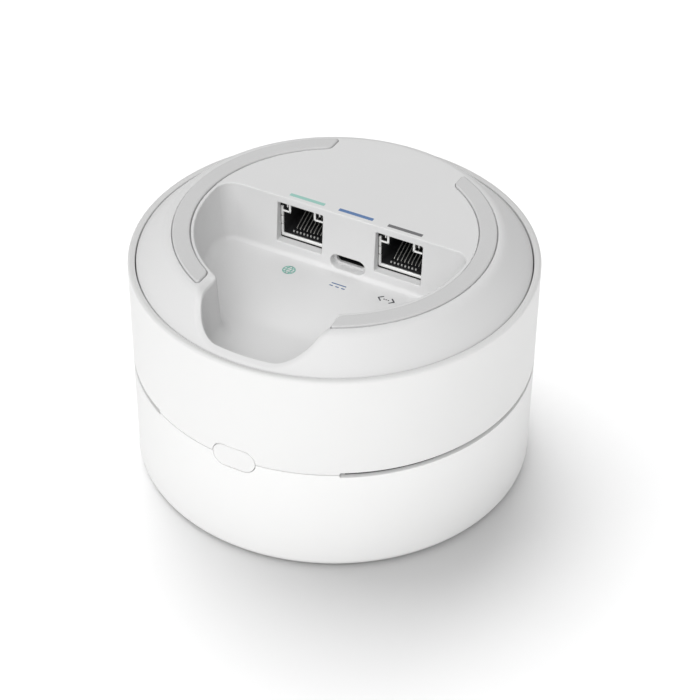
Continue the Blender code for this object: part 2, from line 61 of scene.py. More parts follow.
# ---- materials -----------------------------------------------------------------------
def node_material(name, rgb, rough, metal=0.0, grain=3500.0, bump=0.05, vary=0.02, rvary=0.06,
                  coat=0.0, spec=0.5, transmission=0.0, stretch=None):
    """Principled shader whose colour, roughness and bump come from fine procedural noise."""
    m = bpy.data.materials.new(name)
    m.use_nodes = True
    nt = m.node_tree
    n, l = nt.nodes, nt.links
    b = n["Principled BSDF"]
    b.inputs["Metallic"].default_value = metal
    b.inputs["Coat Weight"].default_value = coat
    b.inputs["Coat Roughness"].default_value = 0.2
    b.inputs["Specular IOR Level"].default_value = spec
    b.inputs["Transmission Weight"].default_value = transmission
    co = n.new("ShaderNodeTexCoord")
    mp = n.new("ShaderNodeMapping")
    if stretch:
        mp.inputs["Scale"].default_value = stretch
    l.new(co.outputs["Object"], mp.inputs["Vector"])
    fine = n.new("ShaderNodeTexNoise")
    fine.inputs["Scale"].default_value = grain
    fine.inputs["Detail"].default_value = 3.0
    l.new(mp.outputs["Vector"], fine.inputs["Vector"])
    broad = n.new("ShaderNodeTexNoise")
    broad.inputs["Scale"].default_value = 45.0
    broad.inputs["Detail"].default_value = 4.0
    l.new(co.outputs["Object"], broad.inputs["Vector"])
    ramp = n.new("ShaderNodeValToRGB")
    ramp.color_ramp.elements[0].position = 0.3
    ramp.color_ramp.elements[1].position = 0.7
    lo = tuple(max(0.0, c * (1 - vary)) for c in rgb)
    hi = tuple(min(1.0, c * (1 + vary)) for c in rgb)
    ramp.color_ramp.elements[0].color = (*lo, 1)
    ramp.color_ramp.elements[1].color = (*hi, 1)
    mixn = n.new("ShaderNodeMath")
    mixn.operation = "MULTIPLY_ADD"
    mixn.inputs[1].default_value = 0.45
    l.new(fine.outputs["Fac"], mixn.inputs[0])
    half = n.new("ShaderNodeMath")
    half.operation = "MULTIPLY"
    half.inputs[1].default_value = 0.55
    l.new(broad.outputs["Fac"], half.inputs[0])
    l.new(half.outputs[0], mixn.inputs[2])
    l.new(mixn.outputs[0], ramp.inputs["Fac"])
    l.new(ramp.outputs["Color"], b.inputs["Base Color"])
    rr = n.new("ShaderNodeMapRange")
    rr.inputs["To Min"].default_value = max(0.02, rough - rvary)
    rr.inputs["To Max"].default_value = min(1.0, rough + rvary)
    l.new(mixn.outputs[0], rr.inputs["Value"])
    l.new(rr.outputs["Result"], b.inputs["Roughness"])
    bm = n.new("ShaderNodeBump")
    bm.inputs["Strength"].default_value = bump
    bm.inputs["Distance"].default_value = 0.00005
    l.new(fine.outputs["Fac"], bm.inputs["Height"])
    l.new(bm.outputs["Normal"], b.inputs["Normal"])
    m.diffuse_color = (*rgb, 1)
    return m


M = {
    "white": node_material("satin_white_plastic", (0.865, 0.865, 0.860), 0.42, grain=4200, bump=0.10, vary=0.006, rvary=0.04),
    "grey": node_material("light_grey_plastic", (0.674, 0.674, 0.674), 0.52, grain=3600, bump=0.18, vary=0.012, rvary=0.05),
    "rubber": node_material("matt_grey_rubber", (0.580, 0.580, 0.580), 0.82, grain=2600, bump=0.35, vary=0.03, rvary=0.05, spec=0.3),
    # the light pipe's near-black colour is partly its own dark tint and partly painted shade: it makes the slot at the
    # waist read black where the soft lights alone leave it mid-grey
    "pipe": node_material("dark_light_pipe_painted_shade", (0.045, 0.045, 0.047), 0.42, grain=1500, bump=0.05, vary=0.1),
    "steel": node_material("tinned_steel", (0.72, 0.72, 0.71), 0.30, metal=1.0, grain=2200, bump=0.10, vary=0.04, stretch=(1, 6, 1)),
    "tab": node_material("bright_tab", (0.90, 0.90, 0.89), 0.35, metal=0.35, grain=2200, bump=0.08, vary=0.03),
    "black": node_material("black_moulding", (0.012, 0.012, 0.013), 0.5, grain=2600, bump=0.2, vary=0.2),
    "gold": node_material("gold_plated_contact", (0.70, 0.62, 0.48), 0.35, metal=1.0, grain=2600, bump=0.06, vary=0.05),
    "contact": node_material("plated_contact_wire", (0.46, 0.455, 0.43), 0.35, metal=0.55, grain=2600, bump=0.06, vary=0.05),
    "tip": node_material("contact_tip", (0.50, 0.50, 0.49), 0.35, metal=0.2, grain=2600, bump=0.05, vary=0.03),
    "pcb": node_material("green_solder_mask", (0.02, 0.13, 0.06), 0.40, grain=1400, bump=0.15, vary=0.18, coat=0.3),
    "chip": node_material("moulded_chip", (0.030, 0.030, 0.034), 0.55, grain=5200, bump=0.30, vary=0.15),
    "cast": node_material("cast_aluminium", (0.56, 0.57, 0.58), 0.48, metal=1.0, grain=1800, bump=0.40, vary=0.06),
    "pad": node_material("soft_thermal_pad", (0.34, 0.45, 0.58), 0.85, grain=1600, bump=0.35, vary=0.08),
    "led": node_material("clear_led_lens", (0.86, 0.86, 0.78), 0.18, grain=1600, bump=0.03, vary=0.03, coat=0.5),
    "wire": node_material("wire_jacket", (0.025, 0.025, 0.027), 0.45, grain=2000, bump=0.10, vary=0.15),
    "carrier": node_material("dark_carrier_plastic", (0.10, 0.10, 0.105), 0.60, grain=2600, bump=0.25, vary=0.08),
    "teal": node_material("teal_print", (0.300, 0.540, 0.480), 0.55, grain=3000, bump=0.05, vary=0.03),
    "blue": node_material("blue_print", (0.100, 0.190, 0.380), 0.55, grain=3000, bump=0.05, vary=0.04),
    "ink": node_material("dark_grey_print", (0.150, 0.150, 0.155), 0.55, grain=3000, bump=0.05, vary=0.05),
    "mark_blue": node_material("blue_mark", (0.055, 0.120, 0.270), 0.55, grain=3000, bump=0.05, vary=0.04),
    "mark_ink": node_material("dark_mark", (0.060, 0.062, 0.070), 0.55, grain=3000, bump=0.05, vary=0.05),
    "mark_teal": node_material("teal_mark", (0.190, 0.480, 0.400), 0.55, grain=3000, bump=0.05, vary=0.03),
}


# ---- mesh helpers ----------------------------------------------------------------------
def mesh_obj(name, verts, faces, mat, smooth=True, sharp=None, body="housing", normals=None):
    v = np.asarray(verts, dtype=np.float64) * MM
    me = bpy.data.meshes.new(name)
    me.from_pydata(v.tolist() if len(v) < 60000 else [tuple(p) for p in v], [], faces if isinstance(faces, list) else faces.tolist())
    me.update()
    if smooth:
        me.polygons.foreach_set("use_smooth", np.ones(len(me.polygons), dtype=bool))
    if sharp is not None:
        me.set_sharp_from_angle(angle=math.radians(sharp))
    if normals is not None:
        me.normals_split_custom_set_from_vertices(np.asarray(normals, dtype=np.float32).tolist())
    me.materials.append(M[mat])
    ob = bpy.data.objects.new(name, me)
    scene.collection.objects.link(ob)
    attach(ob, body)
    return ob


def face_out(ob):
    bm = bmesh.new()
    bm.from_mesh(ob.data)
    bmesh.ops.remove_doubles(bm, verts=bm.verts, dist=1e-8)
    bmesh.ops.recalc_face_normals(bm, faces=bm.faces)
    if bm.calc_volume(signed=True) < 0:
        bmesh.ops.reverse_faces(bm, faces=bm.faces)
    bm.to_mesh(ob.data)
    bm.free()
    return ob


def grid_faces(rows, cols, wrap_cols=False, wrap_rows=False):
    f = []
    rr = rows if wrap_rows else rows - 1
    cc = cols if wrap_cols else cols - 1
    for i in range(rr):
        for j in range(cc):
            a, b = i * cols + j, i * cols + (j + 1) % cols
            c, d = ((i + 1) % rows) * cols + (j + 1) % cols, ((i + 1) % rows) * cols + j
            f.append((a, b, c, d))
    return f


def fillet(cx, cz, r, a0, a1, n=6):
    return [(cx + r * math.cos(math.radians(a0 + (a1 - a0) * i / n)),
             cz + r * math.sin(math.radians(a0 + (a1 - a0) * i / n))) for i in range(n + 1)]


def rounded_box(name, lo, hi, r, mat, seg=3, body="housing"):
    """A box with every edge rounded."""
    bm = bmesh.new()
    bmesh.ops.create_cube(bm, size=1.0)
    c = [(lo[i] + hi[i]) / 2 for i in range(3)]
    s = [hi[i] - lo[i] for i in range(3)]
    for v in bm.verts:
        v.co = Vector([c[i] + v.co[i] * s[i] for i in range(3)])
    bmesh.ops.bevel(bm, geom=list(bm.edges), offset=r, segments=seg, affect="EDGES", profile=0.5, clamp_overlap=True)
    verts = [tuple(v.co) for v in bm.verts]
    bm.verts.index_update()
    faces = [[v.index for v in f.verts] for f in bm.faces]
    bm.free()
    return mesh_obj(name, verts, faces, mat, sharp=40, body=body)


def join(name, obs):
    """Several closed meshes as one piece."""
    verts, faces = [], []
    for o in obs:
        base = len(verts)
        verts += [tuple(v.co / MM) for v in o.data.vertices]
        faces += [[base + i for i in p.vertices] for p in o.data.polygons]
    mat = obs[0].data.materials[0]
    key = [k for k in M if M[k] == mat][0]
    for o in obs:
        me = o.data
        bpy.data.objects.remove(o, do_unlink=True)
        bpy.data.meshes.remove(me)
    return mesh_obj(name, verts, faces, key, sharp=40)


def tube(name, path, r, mat, seg=10, body="housing", squash=1.0):
    pts = [Vector(p) for p in path]
    u = None
    verts = []
    for i, p in enumerate(pts):
        a = pts[max(i - 1, 0)]
        b = pts[min(i + 1, len(pts) - 1)]
        d = (b - a).normalized()
        if u is None:
            u = Vector((1, 0, 0)) if abs(d.x) < 0.9 else Vector((0, 1, 0))
        u = (u - d * u.dot(d)).normalized()
        v = d.cross(u)
        for k in range(seg):
            t = 2 * math.pi * k / seg
            verts.append(tuple(p + u * math.cos(t) * r + v * math.sin(t) * r * squash))
    faces = grid_faces(len(pts), seg, wrap_cols=True)
    faces.append(tuple(range(seg)))
    faces.append(tuple(range((len(pts) - 1) * seg, len(pts) * seg)))
    return face_out(mesh_obj(name, verts, faces, mat, sharp=50, body=body))


# ---- implicit solids ---------------------------------------------------------------------
def smooth01(a, b, x):
    t = np.clip((x - a) / (b - a), 0.0, 1.0)
    return t * t * (3 - 2 * t)


def mix(a, b, t):
    return a + (b - a) * t


def smax(a, b, k):
    h = np.maximum(k - np.abs(a - b), 0.0) / k
    return np.maximum(a, b) + h * h * k * 0.25


def rint(a, b, r):
    """Intersection of two solids with the edge between them rounded to radius r."""
    return np.minimum(np.maximum(a, b), -r) + np.hypot(np.maximum(a + r, 0), np.maximum(b + r, 0))


def rcut(a, b, r):
    return rint(a, -b, r)


def runion(a, b, r):
    return -rint(-a, -b, r)


def surface(name, sdf, lo, hi, h, mat, body="housing"):
    """Turn an implicit solid into a mesh with its true surface normals."""
    ax = [np.arange(lo[i], hi[i] + h, h, dtype=np.float32) for i in range(3)]
    n = [len(a) for a in ax]
    field = np.empty(n, dtype=np.float32)
    step = 24
    for i in range(0, n[0], step):
        x, y, z = np.meshgrid(ax[0][i:i + step], ax[1], ax[2], indexing="ij")
        field[i:i + step] = sdf(x, y, z)
    neg = field < 0
    s = neg[:-1, :-1, :-1].astype(np.int8)
    for dx, dy, dz in ((1, 0, 0), (0, 1, 0), (1, 1, 0), (0, 0, 1), (1, 0, 1), (0, 1, 1), (1, 1, 1)):
        s = s + neg[dx:n[0] - 1 + dx, dy:n[1] - 1 + dy, dz:n[2] - 1 + dz]
    cells = np.argwhere((s > 0) & (s < 8)).astype(np.int32)
    del s
    idx = -np.ones((n[0] - 1, n[1] - 1, n[2] - 1), dtype=np.int32)
    idx[cells[:, 0], cells[:, 1], cells[:, 2]] = np.arange(len(cells), dtype=np.int32)
    corner = np.array([(a, b, c) for a in (0, 1) for b in (0, 1) for c in (0, 1)])
    val = np.stack([field[cells[:, 0] + a, cells[:, 1] + b, cells[:, 2] + c] for a, b, c in corner], 1).astype(np.float64)
    acc = np.zeros((len(cells), 3))
    cnt = np.zeros(len(cells))
    for p in range(8):
        for q in range(p + 1, 8):
            if np.abs(corner[p] - corner[q]).sum() != 1:
                continue
            fa, fb = val[:, p], val[:, q]
            hit = (fa < 0) != (fb < 0)
            t = np.where(hit, fa / np.where(hit, fa - fb, 1.0), 0.0)
            pos = corner[p] + (corner[q] - corner[p]) * t[:, None]
            acc += np.where(hit[:, None], pos, 0.0)
            cnt += hit
    v = (cells + acc / cnt[:, None]) * h + np.array(lo, dtype=np.float64)

    def grad(v, e):
        g = np.empty_like(v)
        for k in range(3):
            d = np.zeros(3)
            d[k] = e
            a, b = v + d, v - d
            g[:, k] = sdf(a[:, 0], a[:, 1], a[:, 2]) - sdf(b[:, 0], b[:, 1], b[:, 2])
        return g / (np.linalg.norm(g, axis=1, keepdims=True) + 1e-9)

    for _ in range(3):
        f = sdf(v[:, 0], v[:, 1], v[:, 2])
        v = v - grad(v, 0.02) * np.clip(f, -0.4 * h, 0.4 * h)[:, None] * 0.9
    quads = []
    for axis in range(3):
        o1, o2 = (axis + 1) % 3, (axis + 2) % 3
        sl_a, sl_b = [slice(None)] * 3, [slice(None)] * 3
        sl_a[axis], sl_b[axis] = slice(0, -1), slice(1, None)
        a, b = neg[tuple(sl_a)], neg[tuple(sl_b)]
        e = np.argwhere(a != b)
        e = e[(e[:, o1] > 0) & (e[:, o1] < n[o1] - 1) & (e[:, o2] > 0) & (e[:, o2] < n[o2] - 1)]
        flip = a[e[:, 0], e[:, 1], e[:, 2]]
        c = []
        for d1, d2 in ((-1, -1), (0, -1), (0, 0), (-1, 0)):
            t = e.copy()
            t[:, o1] += d1
            t[:, o2] += d2
            c.append(idx[t[:, 0], t[:, 1], t[:, 2]])
        c = np.stack(c, 1)
        c[~flip] = c[~flip][:, ::-1]
        quads.append(c)
    quads = np.concatenate(quads)
    quads = quads[(quads >= 0).all(1)]
    normals = grad(v, 0.03)
    return mesh_obj(name, v, quads, mat, body=body, normals=normals)


# ---- crown and sleeve ------------------------------------------------------------------------
def columns():
    """Azimuths for the two housing halves: even all round, closer at the slot ends and the button."""
    a = list(np.arange(0.0, 360.0, 1.25))
    for c in (SLOT_A0 % 360, SLOT_A1 % 360):
        a += list(np.linspace(c - 0.8, c + 0.8, 17))
    hw = BUTTON_W / 2 + 0.2
    r = BUTTON_H / 2 + 0.2
    xs = [hw - r + r * math.sin(math.radians(t)) for t in np.linspace(0, 90, 26)] + list(np.linspace(0, hw - r, 6))
    xs += [hw + 0.03, hw + 0.3, hw + 0.6]
    for x in xs:
        for s in (1, -1):
            a.append(270.0 + s * math.degrees(math.asin(x / BODY_R)))
    a = np.array(sorted(set(np.round(np.mod(a, 360.0), 4))))
    keep = np.concatenate([[True], np.diff(a) > 0.012])
    return a[keep]


AZ = columns()


def waist_edge(az, side):
    """Height of a half's edge at the waist; side +1 is the sleeve above, -1 the crown below."""
    a = np.mod(az - SLOT_A1, 360.0)
    gap = (SLOT_A0 - SLOT_A1) % 360.0            # the seam-only stretch starts at SLOT_A1
    seam = (a > 0) & (a < gap)
    d = np.minimum(np.abs(np.mod(az - SLOT_A0 + 180, 360) - 180), np.abs(np.mod(az - SLOT_A1 + 180, 360) - 180))
    d = np.where(seam, d, -d)                    # degrees inside the seam stretch
    t = smooth01(-0.25, 0.25, d)
    open_z = SLOT_HI if side > 0 else SLOT_LO
    seam_z = WAIST_Z + side * 0.13
    z = open_z + (seam_z - open_z) * t
    x = np.abs(BODY_R * np.sin(np.radians(az - 270.0)))
    front = np.cos(np.radians(az - 270.0)) > 0.5
    hw, r = BUTTON_W / 2 + 0.2, BUTTON_H / 2 + 0.2
    h = np.where(x < hw - r, r, np.sqrt(np.maximum(r * r - (x - (hw - r)) ** 2, 0.0)))
    hole = np.where(front & (x < hw), WAIST_Z + side * h, z)
    return np.maximum(z, hole) if side > 0 else np.minimum(z, hole)


def varied_lathe(name, rows, mat):
    """rows: list of (radius array, height array) over AZ, a closed loop of rings."""
    ca, sa = np.cos(np.radians(AZ)), np.sin(np.radians(AZ))
    verts = []
    for r, z in rows:
        r = np.broadcast_to(np.asarray(r, dtype=float), AZ.shape)
        z = np.broadcast_to(np.asarray(z, dtype=float), AZ.shape)
        verts.append(np.stack([r * ca, r * sa, z], 1))
    verts = np.concatenate(verts)
    faces = grid_faces(len(rows), len(AZ), wrap_cols=True, wrap_rows=True)
    ob = mesh_obj(name, verts, faces, mat, sharp=33)
    return ob


def edge_rows(zt, side, r_edge=0.16):
    """Rounded outer edge, then the flat edge in to the inner wall."""
    arc_l = np.radians(np.gradient(AZ)) * BODY_R
    slope = np.abs(np.gradient(zt)) / np.maximum(np.abs(arc_l), 1e-6)
    v = r_edge * np.minimum(np.sqrt(1 + slope ** 2), 3.0)
    out = []
    for t in (0, 22.5, 45, 67.5, 90):
        c, s = math.cos(math.radians(t)), math.sin(math.radians(t))
        out.append((BODY_R - r_edge + r_edge * c, zt + side * (v - v * s)))
    return out, (WALL_R, zt)


zt = waist_edge(AZ, -1)
rows, inner_edge = edge_rows(zt, -1)
F = 2.30
low = np.minimum(29.0, zt - 0.8)
crown_rows = [(BODY_R, low)] + rows + [inner_edge, (WALL_R, low - 1.0), (WALL_R, 4.6), (50.4, 3.2), (48.6, 2.45), (30.0, 2.75), (0.4, 3.2)]
crown_rows += [(0.4, 1.25), (14.0, 1.18), (26.0, 0.98), (36.0, 0.62), (40.5, 0.33), (42.6, 0.12), (43.6, 0.03), (44.6, 0.0)]
crown_rows += [(BODY_R - F + F * math.cos(math.radians(t)), F + F * math.sin(math.radians(t))) for t in np.linspace(-90, 0, 15)]
crown_rows += [(BODY_R, 8.0), (BODY_R, 18.0)]
crown = varied_lathe("crown_shell", crown_rows, "white")


def cap_centres(ob):
    """Close the small centre rings of a lathe."""
    bm = bmesh.new()
    bm.from_mesh(ob.data)
    small = [v for v in bm.verts if math.hypot(v.co.x, v.co.y) < 0.00045]
    for zc in (0.0032, 0.00125):
        ring = [v for v in small if v.is_valid and abs(v.co.z - zc) < 1e-6]
        if ring:
            bmesh.ops.pointmerge(bm, verts=ring, merge_co=Vector((0, 0, zc)))
    dead = [e for e in bm.edges if len(e.link_faces) == 0]
    bmesh.ops.delete(bm, geom=dead, context="EDGES")
    # the wall between the two centres would be a needle: drop it
    centre = [v for v in bm.verts if math.hypot(v.co.x, v.co.y) < 1e-9]
    if len(centre) == 2:
        e = [e for e in centre[0].link_edges if e.other_vert(centre[0]) is centre[1]]
        bmesh.ops.delete(bm, geom=e, context="EDGES")
    bm.to_mesh(ob.data)
    bm.free()
    face_out(ob)
    ob.data.polygons.foreach_set("use_smooth", np.ones(len(ob.data.polygons), dtype=bool))
    ob.data.set_sharp_from_angle(angle=math.radians(33))
    return ob


cap_centres(crown)
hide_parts("crown_cover")

zt = waist_edge(AZ, 1)
rows, inner_edge = edge_rows(zt, 1)
high = np.maximum(33.4, zt + 0.8)
R = 0.85
sl_rows = [(BODY_R, 45.0), (BODY_R, high)] + rows[::1] + [inner_edge, (WALL_R, high + 1.0), (WALL_R, 46.0), (WALL_R, 59.5)]
sl_rows += [(WALL_R, RIM_Z - 0.42), (WALL_R + 0.06, RIM_Z - 0.25), (WALL_R + 0.22, RIM_Z - 0.17), (WALL_R + 0.5, RIM_Z - 0.10), (BODY_R - R - 0.1, RIM_Z)]
sl_rows += [(BODY_R - R + R * math.cos(math.radians(t)), RIM_Z - R + R * math.sin(math.radians(t))) for t in np.linspace(90, 0, 11)]
sleeve = face_out(varied_lathe("sleeve_shell", sl_rows, "white"))
sleeve.data.polygons.foreach_set("use_smooth", np.ones(len(sleeve.data.polygons), dtype=bool))
sleeve.data.set_sharp_from_angle(angle=math.radians(33))
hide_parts("side_sleeve")


# ---- base plate with the port bay ---------------------------------------------------------------
def grow_at(z):
    return -1.2 + (z - BAY_FLOOR) / 18.8 * 1.28


def bay2d(x, y):
    r = np.hypot(x, y)
    bay = rint(r - BAY_R, y - BAY_WALL_Y, 4.0)
    notch = rint(np.abs(x - NOTCH_X) - NOTCH_W, r - NOTCH_R, NOTCH_CORNER)
    notch = np.maximum(notch, y + 12.0)
    return runion(bay, notch, 0.6)


def foot2d(x, y, g):
    r = np.hypot(x, y)
    a = np.abs(r - (FOOT_RI + FOOT_RO) / 2) - (FOOT_RO - FOOT_RI) / 2 - g
    return rint(a, FOOT_END - g - np.abs(x), 1.1)


def sd_base(x, y, z):
    r = np.hypot(x, y)
    env = smax(z - FACE_Z, (r + z - SKIRT_SUM) * 0.70711, 1.1)
    env = rint(env, r - BASE_R, 0.25)
    d2 = bay2d(x, y)
    shell = np.maximum(np.maximum(env, BASE_LOW - z), -(env + 2.2))
    tub = np.maximum(np.maximum(env, d2 - BAY_SKIN), BAY_UNDER - z)
    body = np.minimum(shell, tub)
    cavity = rint(d2 - grow_at(z), BAY_FLOOR - z, mix(3.2, 1.3, smooth01(-3.0, 4.0, y)))
    wn = smooth01(-30.0, -34.0, y)
    rr = mix(0.30, 0.50, wn)
    rr = mix(rr, 0.28, smooth01(1.0, 4.5, y))
    width = BEVEL * smooth01(-30.5, -34.5, y)
    slope = (env + BEVEL_SLOPE * (width - (d2 - grow_at(z)))) / math.hypot(1.0, BEVEL_SLOPE)
    body = np.where((width > 0.01) & (d2 < 6.0), smax(body, slope, 0.25), body)
    body = rcut(body, cavity, rr)
    groove = np.maximum(foot2d(x, y, 0.10), GROOVE_Z - z)
    body = rcut(body, groove, 0.10)
    for jx in JACK_X:
        hole = rint(np.abs(x - jx) - JACK_W / 2, np.abs(z - JACK_Z) - JACK_H / 2, 0.35)
        hole = np.maximum(hole, np.abs(y - 6.0) - 4.0)
        body = rcut(body, hole, 0.22)
    ax = np.maximum(np.abs(x - USB_X) - (USB_W - USB_H) / 2, 0.0)
    usb = np.hypot(ax, z - USB_Z) - USB_H / 2
    usb = np.maximum(usb, np.abs(y - 6.0) - 4.0)
    body = rcut(body, usb, 0.25)
    return body


H = 0.30
base = surface("base_moulding", sd_base, (-51.6, -51.6, 48.6), (51.6, 51.6, 69.2), H, "grey")
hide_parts("base_plate")


# ---- feet ---------------------------------------------------------------------------------------------
def sd_foot(side):
    def f(x, y, z):
        d = np.maximum(foot2d(x, y, 0.0), -side * x)
        return rint(d, np.abs(z - (GROOVE_Z + 0.05 + BODY_H) / 2) - (BODY_H - GROOVE_Z - 0.05) / 2, 0.40)
    return f


for side, nm in ((1, "foot_right"), (-1, "foot_left")):
    lo = (17.9, -38.2, GROOVE_Z - 0.4) if side > 0 else (-42.0, -38.2, GROOVE_Z - 0.4)
    hi = (42.0, 38.2, BODY_H + 0.4) if side > 0 else (-17.9, 38.2, BODY_H + 0.4)
    ft = surface(nm + "_pad", sd_foot(side), lo, hi, 0.25, "rubber")
    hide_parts(nm)


# ---- reset button -----------------------------------------------------------------------------------------
def stadium_pts(w, h, n=20):
    r, d = h / 2, w / 2 - h / 2
    p = [(d + r * math.cos(t), r * math.sin(t)) for t in np.linspace(-math.pi / 2, math.pi / 2, n)]
    p += [(-d + r * math.cos(t), r * math.sin(t)) for t in np.linspace(math.pi / 2, 3 * math.pi / 2, n)]
    # straight runs
    return p


def button():
    loops = []
    e = 0.22
    for grow, depth in ((0.0, 2.8), (0.0, e)):
        loops.append((grow, depth))
    for t in (22.5, 45, 67.5, 90):
        loops.append((-e * (1 - math.cos(math.radians(t))), e * (1 - math.sin(math.radians(t)))))
    for k in (0.6, 1.2, 2.0, 2.7, 3.1):
        loops.append((-k, 0.0))
    verts, n = [], 0
    for g, dep in loops:
        w, h = BUTTON_W + 2 * g, BUTTON_H + 2 * g
        p = stadium_pts(w, max(h, 0.05), 20)
        n = len(p)
        for x, z in p:
            rr = BODY_R - dep
            verts.append((x, -math.sqrt(rr * rr - x * x), WAIST_Z + z))
    faces = grid_faces(len(loops), n, wrap_cols=True)
    last = (len(loops) - 1) * n
    faces.append(tuple(range(n)))
    faces.append(tuple(range(last, last + n)))
    ob = mesh_obj("reset_button_cap", verts, faces, "white", sharp=40, body="button")
    face_out(ob)
    ob.data.polygons.foreach_set("use_smooth", np.ones(len(ob.data.polygons), dtype=bool))
    return ob


cap = button()
flange = rounded_box("reset_button_flange", (-7.5, -50.2, WAIST_Z - 4.4), (7.5, -49.4, WAIST_Z + 4.4), 0.25, "white", body="button")
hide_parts("reset_button")


# ---- light pipe ring ----------------------------------------------------------------------------------------
def ring_piece(name, prof, a0, a1, n, mat):
    az = np.radians(np.linspace(a0, a1, n + 1))
    verts = []
    for r, z in prof:
        for a in az:
            verts.append((r * math.cos(a), r * math.sin(a), z))
    cols = n + 1
    faces = grid_faces(len(prof), cols, wrap_rows=True)
    faces.append(tuple(i * cols for i in range(len(prof))))
    faces.append(tuple(i * cols + n for i in range(len(prof))))
    ob = face_out(mesh_obj(name, verts, faces, mat, sharp=35))
    ob.data.polygons.foreach_set("use_smooth", np.ones(len(ob.data.polygons), dtype=bool))
    ob.data.set_sharp_from_angle(angle=math.radians(35))
    return ob


# the ring takes the near-black pipe colour, which carries painted shade of the slot groove
prof = [(44.2, 29.2)] + fillet(50.70, 29.45, 0.25, -90, 0, 3) + [(50.95, 30.65)] + fillet(51.80, 30.80, 0.15, -90, 0, 3)
prof += fillet(51.80, 31.65, 0.15, 0, 90, 3) + [(50.95, 31.80)] + fillet(50.70, 32.00, 0.25, 0, 90, 3) + [(48.9, 32.25), (48.9, 30.9), (44.2, 30.9)]
pipe = ring_piece("light_pipe", prof, SLOT_A0 + 1.5, SLOT_A1 - 1.5, 300, "pipe")
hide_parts("light_pipe_ring")


# ---- network jacks -----------------------------------------------------------------------------------------------
def open_box(name, lo, hi, mouth, back, mat, sharp=30):
    """A closed body with a rectangular pocket opened in its -Y face. mouth = (x0, x1, z0, z1)."""
    x0, y0, z0 = lo
    x1, y1, z1 = hi
    mx0, mx1, mz0, mz1 = mouth
    v = [(x0, y0, z0), (x1, y0, z0), (x1, y0, z1), (x0, y0, z1),
         (x0, y1, z0), (x1, y1, z0), (x1, y1, z1), (x0, y1, z1),
         (mx0, y0, mz0), (mx1, y0, mz0), (mx1, y0, mz1), (mx0, y0, mz1),
         (mx0, back, mz0), (mx1, back, mz0), (mx1, back, mz1), (mx0, back, mz1)]
    f = [(4, 5, 6, 7), (0, 4, 7, 3), (1, 2, 6, 5), (0, 1, 5, 4), (3, 7, 6, 2),
         (0, 8, 9, 1), (1, 9, 10, 2), (2, 10, 11, 3), (3, 11, 8, 0),
         (8, 12, 13, 9), (9, 13, 14, 10), (10, 14, 15, 11), (11, 15, 12, 8), (12, 15, 14, 13)]
    ob = mesh_obj(name, v, f, mat, sharp=sharp)
    bm = bmesh.new()
    bm.from_mesh(ob.data)
    bmesh.ops.recalc_face_normals(bm, faces=bm.faces)
    if bm.calc_volume(signed=True) < 0:
        bmesh.ops.reverse_faces(bm, faces=bm.faces)
    bmesh.ops.bevel(bm, geom=list(bm.edges), offset=0.10, segments=2, affect="EDGES", profile=0.5, clamp_overlap=True)
    bm.to_mesh(ob.data)
    bm.free()
    ob.data.polygons.foreach_set("use_smooth", np.ones(len(ob.data.polygons), dtype=bool))
    ob.data.set_sharp_from_angle(angle=math.radians(40))
    return ob


